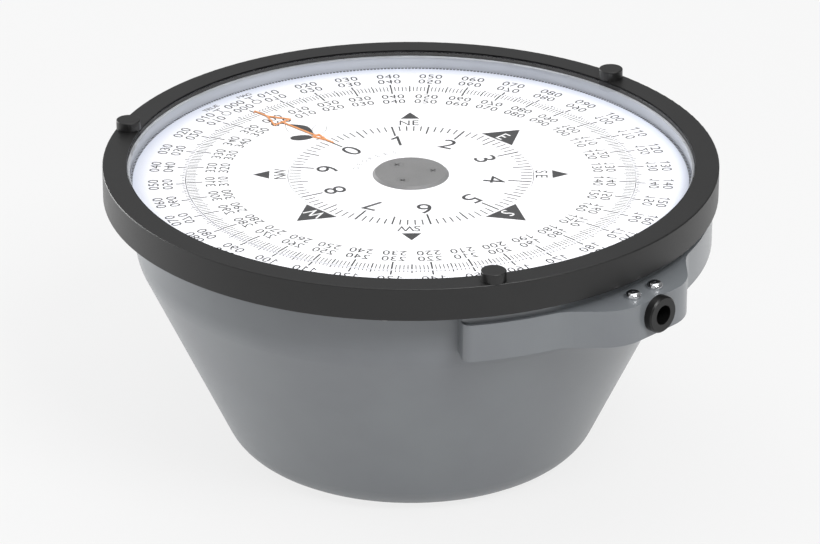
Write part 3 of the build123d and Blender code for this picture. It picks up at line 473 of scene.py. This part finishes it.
def flat_shape(outline):
    """A thin solid inside straight lines through (x, y) points."""
    bpy.ops.object.select_all(action="DESELECT")
    bpy.ops.mesh.primitive_circle_add(vertices=len(outline), radius=1, fill_type="NGON")
    made = bpy.context.object
    for corner, (x, y) in zip(made.data.vertices, outline):
        corner.co = (x, y, -0.5)
    bpy.ops.object.mode_set(mode="EDIT")
    bpy.ops.mesh.select_all(action="SELECT")
    bpy.ops.mesh.quads_convert_to_tris()
    bpy.ops.mesh.extrude_region_move(TRANSFORM_OT_translate={"value": (0, 0, 1)})
    bpy.ops.object.mode_set(mode="OBJECT")
    weld(made)
    return take_mesh(made)


def character(sign):
    """A character one unit tall and one unit thick, centred in its own width."""
    if sign not in lettering:
        if sign == "1":
            mesh = flat_shape(FLAGGED_ONE)
        else:
            bpy.ops.object.select_all(action="DESELECT")
            bpy.ops.object.text_add()
            made = bpy.context.object
            made.data.body = sign
            made.data.align_x = "CENTER"
            made.data.resolution_u = 3
            made.data.extrude = 0.5
            bpy.ops.object.convert(target="MESH")
            made = bpy.context.object
            weld(made)
            mesh = take_mesh(made)
            mesh.transform(Matrix.Diagonal((1 / CAPITAL, 1 / CAPITAL, 1, 1)))
            middle = sum(side(v.co.x for v in mesh.vertices) for side in (min, max)) / 2
            mesh.transform(Matrix.Translation((-middle, 0, 0)))
        lettering[sign] = mesh
    return lettering[sign]


zero = character("0")
zero_wide = max(v.co.x for v in zero.vertices) - min(v.co.x for v in zero.vertices)
FIGURE_WIDE = ZERO_WIDE / zero_wide  # brings Blender's characters to the dial's proportion


def figure(text, height, wide=1.0, cell=CELL):
    """The meshes of a line of characters, centred on the origin, at a printed height."""
    made = []
    for place, sign in enumerate(text):
        mesh = character(sign).copy()
        spread = 1.0 if sign == "1" else FIGURE_WIDE
        mesh.transform(Matrix.Translation((0, -0.5, 0)))
        mesh.transform(Matrix.Diagonal((wide * spread, 1, 1, 1)))
        mesh.transform(Matrix.Translation((cell * (place - (len(text) - 1) / 2), 0, 0)))
        mesh.transform(Matrix.Diagonal((height, height, INK, 1)))
        mesh.transform(Matrix.Translation((0, 0, INK / 2)))
        made.append(mesh)
    return made


def put(line, bearing, radius, level, mirrored=False):
    """Copies of a line of characters at their place, upside down as in a mirror where asked."""
    placed = []
    for mesh in line:
        mesh = mesh.copy()
        if mirrored:
            mesh.transform(Matrix.Diagonal((1, -1, 1, 1)))
            mesh.flip_normals()
        mesh.transform(at_bearing(bearing, radius, level))
        placed.append(mesh)
    return placed


print("a plain 0 is", round(zero_wide, 3), "of its height wide; spread it by", round(FIGURE_WIDE, 3))

# %% [markdown]
# ## The fixed ring
# The ring is graduated in degrees to port and to starboard from 000 ahead to 180 astern, with
# longer and bolder marks at each fifth and tenth degree. Two rows of figures follow: an upright row
# outside and a mirrored row inside it. Round its outer edge runs a fine row of dark dashes, a painted
# shadow of the gap between the ring and its wall.

# %% Print the fixed ring
soft_black = ink("soft_black_ink", "#262627", "#2f2f31")
fine_black = ink("thin_black_ink", "#3a3a3c", "#444446")
# a dark grey that paints the shadow of the gap at the ring's outer edge
painted_gap_shadow_ink = ink("edge_grey_ink", "#232529", "#2c2e33")
RING_NUMBER = 4.45 * MM  # height of the ring's figures
RING_UPRIGHT = 104.65 * MM  # radius of the upright row
RING_MIRRORED = 98.7 * MM  # radius of the mirrored row
MARK_START = 91.8 * MM  # inner end of the ring's marks
DEGREE_END, FIFTH_END, TENTH_END = 92.9 * MM, 93.8 * MM, 95.4 * MM
DASH_START, DASH_END, DASH_WIDE = 112.9 * MM, 113.95 * MM, 1.05 * MM
DASHES = 480

joined([bars(360, MARK_START, DEGREE_END, THIN, ring_top)], "ring_degrees", "bowl_assembly", fine_black)
ring_marks = [bars(72, MARK_START, FIFTH_END, MIDDLE, ring_top)]
ring_marks += [bars(36, MARK_START, TENTH_END, THICK, ring_top + OVER)]
joined(ring_marks, "ring_graduation", "bowl_assembly", soft_black)

ring_numbers = []
for bearing in range(-170, 181, 10):
    number = figure(f"{abs(bearing):03d}", RING_NUMBER)
    ring_numbers += put(number, bearing, RING_UPRIGHT, ring_top)
    ring_numbers += put(number, bearing, RING_MIRRORED, ring_top, mirrored=True)
joined(ring_numbers, "ring_figures", "bowl_assembly", soft_black)

# Painted shadow: these dark dashes stand for the shadow in the gap between the ring and its wall.
joined([bars(DASHES, DASH_START, DASH_END, DASH_WIDE, ring_top)], "ring_edge_painted_shadow",
       "bowl_assembly", painted_gap_shadow_ink)
print("the ring carries", len(ring_numbers), "printed characters and", DASHES, "dashes")

# %% [markdown]
# Two small lamps show whether the card reads true or magnetic. Each sits in a printed circle, and
# a T shaped leader points from the circle to its word.

# %% Print round the mode lamps
def annulus(bearing, radius, inner, outer, level):
    """A printed circle: a disc, inset and emptied, then given its thickness."""
    bpy.ops.object.select_all(action="DESELECT")
    bpy.ops.mesh.primitive_circle_add(vertices=40, radius=outer, fill_type="NGON")
    made = bpy.context.object
    bpy.ops.object.mode_set(mode="EDIT")
    bpy.ops.mesh.select_all(action="SELECT")
    bpy.ops.mesh.inset(thickness=outer - inner)
    bpy.ops.mesh.delete(type="FACE")
    bpy.ops.mesh.select_all(action="SELECT")
    bpy.ops.mesh.extrude_region_move(TRANSFORM_OT_translate={"value": (0, 0, INK)})
    bpy.ops.object.mode_set(mode="OBJECT")
    weld(made)
    mesh = take_mesh(made)
    mesh.transform(at_bearing(bearing, radius, level))
    return mesh


def block(bearing, radius, wide, tall, level):
    """A short printed bar across or along a radius."""
    bpy.ops.object.select_all(action="DESELECT")
    bpy.ops.mesh.primitive_cube_add(size=1, location=(0, 0, INK / 2), scale=(wide, tall, INK))
    bpy.ops.object.transform_apply()
    mesh = take_mesh(bpy.context.object)
    mesh.transform(at_bearing(bearing, radius, level))
    return mesh


LAMP_BEARING = 5  # degrees from ahead to each lamp
LAMP_RADIUS, CIRCLE_IN, CIRCLE_OUT = 100.4 * MM, 1.72 * MM, 2.15 * MM
LEADER_RADIUS, LEADER_LONG = 104.1 * MM, 3.6 * MM
CROSSBAR_RADIUS, CROSSBAR_LONG = 106.1 * MM, 4.2 * MM
WORD_RADIUS, WORD_TALL = 109.1 * MM, 2.4 * MM

lamp_print = []
for bearing, word in ((-LAMP_BEARING, "TRUE"), (LAMP_BEARING, "MAG")):
    lamp_print.append(annulus(bearing, LAMP_RADIUS, CIRCLE_IN, CIRCLE_OUT, ring_top))
    lamp_print.append(block(bearing, LEADER_RADIUS, MIDDLE, LEADER_LONG, ring_top))
    lamp_print.append(block(bearing, CROSSBAR_RADIUS, CROSSBAR_LONG, MIDDLE, ring_top))
    lamp_print += put(figure(word, WORD_TALL, 1.1, 0.95), bearing, WORD_RADIUS, ring_top)
joined(lamp_print, "mode_lamp_print", "bowl_assembly", soft_black)
print("the lamp print has", len(lamp_print), "marks")

# %% [markdown]
# ## The bezel's bore
# The bore above the dial is painted dead black, so that it doesn't mirror the sky into the reader's
# eye. The paint is a thin sleeve here: a circle extruded upwards, then given a thickness of less
# than a tenth of a millimetre.

# %% Line the bezel's bore
PAINT_THICK = 0.08 * MM
PAINT_LIFT = 0.02 * MM  # of the sleeve above the glass
PAINT_STOP = 0.12 * MM  # of the sleeve below the bezel's top


def bore_sleeve(radius, low, high, thick):
    """A thin round wall about the axis."""
    bpy.ops.object.select_all(action="DESELECT")
    bpy.ops.mesh.primitive_circle_add(vertices=256, radius=radius, location=(0, 0, low))
    made = bpy.context.object
    bpy.ops.object.transform_apply()
    bpy.ops.object.mode_set(mode="EDIT")
    bpy.ops.mesh.select_all(action="SELECT")
    bpy.ops.mesh.extrude_region_move(TRANSFORM_OT_translate={"value": (0, 0, high - low)})
    bpy.ops.object.mode_set(mode="OBJECT")
    wall = made.modifiers.new("thickness", "SOLIDIFY")
    wall.thickness = thick
    wall.offset = 0.0
    bpy.ops.object.modifier_apply(modifier=wall.name)
    weld(made)
    return made


glass_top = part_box("window_glass")[1].z
glass_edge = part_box("window_glass")[1].x
sleeve = bore_sleeve(glass_edge - PAINT_THICK, glass_top + PAINT_LIFT, bezel_top - PAINT_STOP,
                     PAINT_THICK)
bore_black = flocked_paint("dead_black_paint", "#08080a", "#0e0e10")
finish_piece(sleeve, "bezel_bore_paint", "bowl_assembly", bore_black)
print("the bezel stands", round((bezel_top - glass_top) / MM, 2), "mm above the glass")

# %% [markdown]
# ## The compass card
# The card turns with the ship's heading, so its print rides on the heading body. Its degree marks
# meet the ring's across the gap. Inside them come a mirrored row and an upright row of figures,
# and then the points of the compass.

# %% Print the compass card
CARD_NUMBER = 4.3 * MM  # height of the card's figures
CARD_UPRIGHT = 76.35 * MM
CARD_MIRRORED = 81.4 * MM
CARD_DEGREE, CARD_FIFTH, CARD_TENTH = 87.3 * MM, 86.6 * MM, 84.7 * MM  # inner ends of the marks
card_mark_end = card_edge - 0.15 * MM

joined([bars(360, CARD_DEGREE, card_mark_end, THIN, card_top)], "card_degrees", "heading", fine_black)
card_marks = [bars(72, CARD_FIFTH, card_mark_end, MIDDLE, card_top)]
card_marks += [bars(36, CARD_TENTH, card_mark_end, THICK, card_top + OVER)]
joined(card_marks, "card_graduation", "heading", soft_black)

card_numbers = []
for bearing in range(0, 360, 10):
    number = figure(f"{bearing:03d}", CARD_NUMBER)
    card_numbers += put(number, bearing, CARD_UPRIGHT, card_top)
    card_numbers += put(number, bearing, CARD_MIRRORED, card_top, mirrored=True)
joined(card_numbers, "card_figures", "heading", soft_black)
print("the compass card carries", len(card_numbers), "printed characters")

# %% [markdown]
# The quarter points are large dark triangles with a white letter, and the half points are small
# triangles with a dark pair of letters below. A triangle is a circle of three corners, moved to
# its size corner by corner and extruded.

# %% Print the points of the compass
def triangle(bearing, apex, base, wide, level):
    """A filled triangle that points outwards."""
    bpy.ops.object.select_all(action="DESELECT")
    bpy.ops.mesh.primitive_circle_add(vertices=3, radius=apex - base, fill_type="NGON")
    made = bpy.context.object
    corners = sorted(made.data.vertices, key=lambda v: v.co.y)
    corners[2].co = (0, apex - base, 0)
    for corner in corners[:2]:
        corner.co = ((wide if corner.co.x > 0 else -wide) / 2, 0, 0)
    bpy.ops.object.mode_set(mode="EDIT")
    bpy.ops.mesh.select_all(action="SELECT")
    bpy.ops.mesh.extrude_region_move(TRANSFORM_OT_translate={"value": (0, 0, INK)})
    bpy.ops.object.mode_set(mode="OBJECT")
    weld(made)
    mesh = take_mesh(made)
    mesh.transform(at_bearing(bearing, base, level))
    return mesh


QUARTER_APEX, QUARTER_BASE, QUARTER_WIDE = 64.4 * MM, 50.45 * MM, 17.4 * MM
QUARTER_LETTER, QUARTER_RADIUS = 6.6 * MM, 54.6 * MM
HALF_APEX, HALF_BASE, HALF_WIDE = 64.2 * MM, 57.5 * MM, 7.9 * MM
HALF_LETTERS, HALF_RADIUS = 5.2 * MM, 53.3 * MM
white_ink = ink("white_ink", "#f4f4f4", "#ececec")

points, letters = [], []
for bearing, word in ((90, "E"), (180, "S"), (270, "W")):
    points.append(triangle(bearing, QUARTER_APEX, QUARTER_BASE, QUARTER_WIDE, card_top))
    letters += put(figure(word, QUARTER_LETTER, 0.8), bearing, QUARTER_RADIUS, card_top + INK / 2)
for bearing, word in ((45, "NE"), (135, "SE"), (225, "SW"), (315, "NW")):
    points.append(triangle(bearing, HALF_APEX, HALF_BASE, HALF_WIDE, card_top))
    points += put(figure(word, HALF_LETTERS, 0.86, 0.88), bearing, HALF_RADIUS, card_top)
joined(points, "compass_points", "heading", soft_black)
joined(letters, "point_letters", "heading", white_ink)
print(len(points), "dark pieces and", len(letters), "white letters mark the points")


# %% [markdown]
# North has a plain three leaved lily, half of it filled and half in outline, as charts do. Each
# leaf is a round curve whose four handles are pulled to shape; a filled leaf is a flat filled
# curve, and an outlined one is the same curve with a thin bevel, pressed flat. A knot is written
# as its x and y and its handle's x and y, in millimetres.

# %% Draw the north lily
def leaf(knots, thick=None):
    """A closed curve through its knots, filled, or in outline where a thickness is given."""
    bpy.ops.object.select_all(action="DESELECT")
    bpy.ops.curve.primitive_bezier_circle_add()
    made = bpy.context.object
    spline = made.data.splines[0]
    for knot, (x, y, dx, dy) in zip(spline.bezier_points, knots):
        knot.handle_left_type = knot.handle_right_type = "FREE"
        knot.co = (x * MM, y * MM, 0)
        knot.handle_left = ((x - dx) * MM, (y - dy) * MM, 0)
        knot.handle_right = ((x + dx) * MM, (y + dy) * MM, 0)
    made.data.resolution_u = 10
    if thick:
        made.data.dimensions = "3D"
        made.data.bevel_depth = thick / 2
        made.data.bevel_resolution = 1
    else:
        made.data.dimensions = "2D"
        made.data.fill_mode = "BOTH"
        made.data.extrude = INK / 2
    bpy.ops.object.convert(target="MESH")
    made = bpy.context.object
    weld(made)
    if thick:
        made.data.transform(Matrix.Diagonal((1, 1, INK / thick, 1)))
    made.data.transform(Matrix.Translation((0, 0, card_top + INK / 2)))
    return take_mesh(made)


half_leaf = [(0.2, 73.4, 0, 0), (4.8, 65.4, 0, -3.2), (0.2, 56.8, 0, 0), (0.2, 65.0, 0, 4)]
open_leaf = [(-0.2, 73.4, 0, 0), (-4.8, 65.4, 0, -3.2), (-0.2, 56.8, 0, 0), (-0.2, 65.0, 0, 4)]
full_lobe = [(-9.2, 60.8, -0.8, -1.6), (-5.8, 55.9, 2.2, -1.0), (-1.0, 56.2, 0.2, 1.2),
             (-4.6, 61.3, -2.4, 1.4)]
open_lobe = [(10.4, 62.0, 0.9, -1.7), (6.8, 56.7, -2.4, -1.1), (1.4, 57.0, -0.2, 1.3),
             (5.4, 62.6, 2.6, 1.5)]
OUTLINE = 0.2 * MM  # thickness of the lily's thin lines
BAND_RADIUS, BAND_LONG, BAND_THICK = 52.6 * MM, 4.6 * MM, 0.5 * MM

lily_band = block(0, BAND_RADIUS, BAND_LONG, BAND_THICK, card_top)
joined([leaf(half_leaf), leaf(full_lobe), lily_band], "north_lily", "heading", soft_black)
joined([leaf(open_leaf, OUTLINE), leaf(open_lobe, OUTLINE)], "north_lily_outline", "heading",
       fine_black)
print("the lily has two filled leaves, two in outline and a band")

# %% [markdown]
# ## The fine card
# The fine card turns once for each ten degrees, so its hundred marks are tenths of a degree and
# its ten figures are whole degrees. A small word round the hub says so.

# %% Print the fine card
fine_mark_end = fine_edge - 0.35 * MM
FINE_TENTH, FINE_HALF, FINE_WHOLE = 44.7 * MM, 42.1 * MM, 39.9 * MM  # inner ends of the marks
DIGIT_TALL, DIGIT_RADIUS = 9.5 * MM, 34.65 * MM
LABEL_TALL, LABEL_RADIUS, LABEL_STEP = 2.5 * MM, 23.3 * MM, 9.5  # the step is in degrees
pale_ink = ink("pale_grey_ink", "#9c9c9e", "#a8a8aa")

fine_marks = [bars(100, FINE_TENTH, fine_mark_end, 0.55 * MM, card_top)]
fine_marks += [bars(20, FINE_HALF, fine_mark_end, 0.65 * MM, card_top + OVER)]
fine_marks += [bars(10, FINE_WHOLE, fine_mark_end, 0.75 * MM, card_top + 2 * OVER)]
joined(fine_marks, "fine_graduation", "fine", soft_black)

fine_print = []
for digit in range(10):
    fine_print += put(figure(str(digit), DIGIT_TALL), 36 * digit, DIGIT_RADIUS, card_top)
joined(fine_print, "fine_figures", "fine", soft_black)

label = "DEGREES"
small_print = []
for place, letter in enumerate(label):
    bearing = (place - (len(label) - 1) / 2) * LABEL_STEP
    small_print += put(figure(letter, LABEL_TALL), bearing, LABEL_RADIUS, card_top)
joined(small_print, "fine_card_word", "fine", pale_ink)
print("the fine card has", len(fine_print), "figures")

# %% [markdown]
# ## Stage, light and camera
# The object stands on a plain pale floor in soft even light: a pale room all round, a little
# brighter on the port side, and three large soft lamps. The floor glows a little by itself, as a
# light table does, so that the bowl's underside isn't lost in shade.

# %% Floor
bpy.ops.object.select_all(action="DESELECT")
bpy.ops.mesh.primitive_plane_add(size=14, location=(0, 0, 0))
floor = bpy.context.object
floor.name = "floor"
floor_finish, floor_tree, floor_shader = new_material("pale_floor", "#f6f6f6", Roughness=0.9,
                                                      Specular_IOR_Level=0.0)
paper = grain(floor_tree, 3 * MM, 3.0)
floor_tree.links.new(tint(floor_tree, paper, "#f6f6f6", "#f4f4f4"), floor_shader.inputs["Base Color"])
glow = add_node(floor_tree, "ShaderNodeEmission", {"Color": paint("#f6f6f6"), "Strength": 0.97})
seen = add_node(floor_tree, "ShaderNodeLightPath")
share = add_node(floor_tree, "ShaderNodeMapRange", {"To Min": 0.5, "To Max": 0.9},
                 {"Value": seen.outputs["Is Camera Ray"]})
even = add_node(floor_tree, "ShaderNodeMixShader", None,
                {0: share.outputs["Result"], 1: floor_shader.outputs["BSDF"],
                 2: glow.outputs["Emission"]})
floor_tree.links.new(even.outputs["Shader"], floor_tree.nodes["Material Output"].inputs["Surface"])
floor.data.materials.append(floor_finish)

# %% Light
scene = bpy.context.scene
scene.view_settings.view_transform = "Standard"
world = bpy.data.worlds.new("pale_room")
world.use_nodes = True
sky = world.node_tree.nodes["Background"]
sky.inputs["Color"].default_value = paint("#fbfbfc")
where = add_node(world.node_tree, "ShaderNodeTexCoord")
toward = add_node(world.node_tree, "ShaderNodeVectorMath",
                  {"operation": "DOT_PRODUCT", 1: (-0.7, 0.7, 0.15)}, {0: where.outputs["Generated"]})
wall = add_node(world.node_tree, "ShaderNodeMapRange",
                {"From Min": -1.0, "From Max": 1.0, "To Min": 0.14, "To Max": 0.78},
                {"Value": toward.outputs["Value"]})
world.node_tree.links.new(wall.outputs["Result"], sky.inputs["Strength"])
scene.world = world


def soft_lamp(name, place, target, wide, tall, power):
    """A large rectangular lamp that faces a point."""
    bpy.ops.object.select_all(action="DESELECT")
    bpy.ops.object.light_add(type="AREA", location=place)
    lamp = bpy.context.object
    lamp.name = name
    lamp.data.shape = "RECTANGLE"
    lamp.data.size = wide
    lamp.data.size_y = tall
    lamp.data.energy = power
    lamp.visible_camera = False
    lamp.rotation_euler = (Vector(target) - Vector(place)).to_track_quat("-Z", "Y").to_euler()
    return lamp


soft_lamp("overhead", (0.3, 0.2, 3.0), (0, 0, 0), 3.0, 3.0, 46)
soft_lamp("key", (-0.3, -1.6, 1.9), (0, 0, 0.08), 1.0, 1.0, 46)
soft_lamp("low_rear", (-0.35, 2.1, 0.3), (0, 0, 0.1), 1.4, 0.55, 42)

# %% [markdown]
# The camera stands off by nearly two metres on the port quarter and looks down at about 25
# degrees. The long lens keeps the ellipses of the dial flat and true, and its axis passes a little
# below the bezel, which puts the whole bowl in the frame.

# %% Camera
LENS_MM = 200.6
STAND_OFF = 1.854
TURN = -45.3  # degrees round the object, from astern
ABOVE = 23.64  # degrees above the bezel's plane
TILT = 25.07  # degrees that the lens points below level
SWING = 0.011  # degrees that the lens points to port of the axis
aim = Vector((0, 0, bezel_top))
away = Vector((sin(radians(TURN)) * cos(radians(ABOVE)), -cos(radians(TURN)) * cos(radians(ABOVE)),
               sin(radians(ABOVE))))
camera = bpy.data.objects.new("camera", bpy.data.cameras.new("camera"))
scene.collection.objects.link(camera)
camera.location = aim + away * STAND_OFF
camera.rotation_euler = (radians(90 - TILT), 0, radians(TURN + SWING))
camera.data.lens = LENS_MM
camera.data.sensor_width = 36.0
camera.data.dof.use_dof = False
scene.camera = camera
